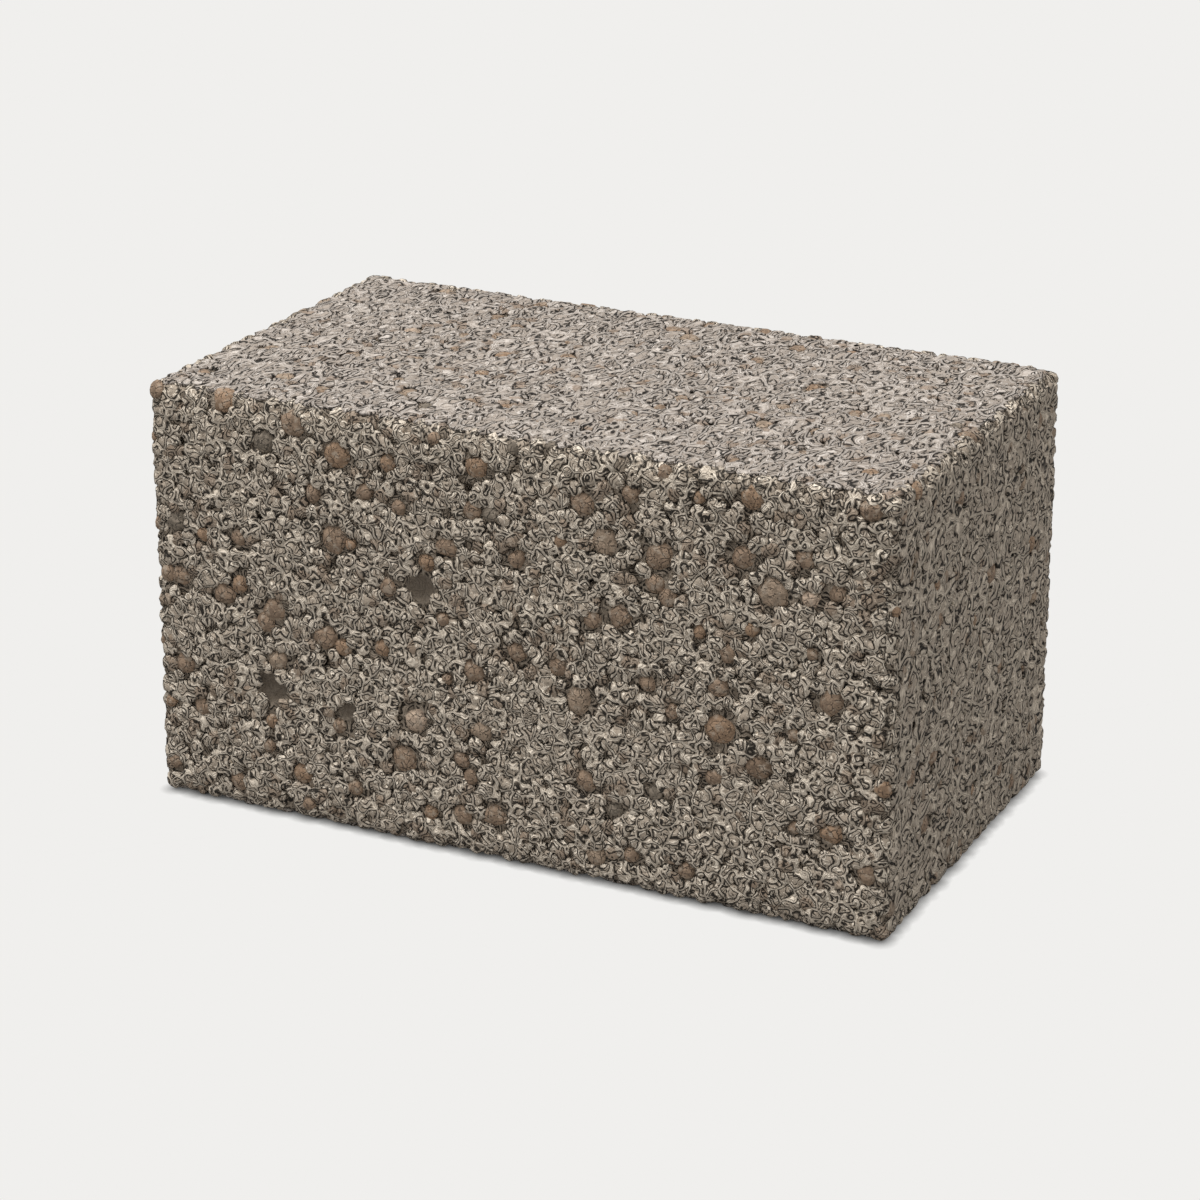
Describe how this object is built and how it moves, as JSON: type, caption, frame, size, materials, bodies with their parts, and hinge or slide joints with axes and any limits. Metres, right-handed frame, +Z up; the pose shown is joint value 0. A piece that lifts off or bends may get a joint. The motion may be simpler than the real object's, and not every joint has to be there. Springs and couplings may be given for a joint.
{
  "type": "solid lightweight aggregate concrete block",
  "caption": "Solid rectangular building block of expanded-clay concrete with rounded arrises, a coarse open face and fired-clay pellets showing flush in it.",
  "frame": {"origin": "middle of the lower bed face, the face that the block stands on", "axes": "+X along the block's length, +Y across the wall from the front face to the back face, +Z up, out of the upper bed face"},
  "size_m": [0.34, 0.19, 0.188],
  "materials": {
    "concrete": "raw pressed expanded-clay concrete, coarse and open, matt"
  },
  "bodies": {
    "root": {"block": "concrete"}
  },
  "joints": []
}
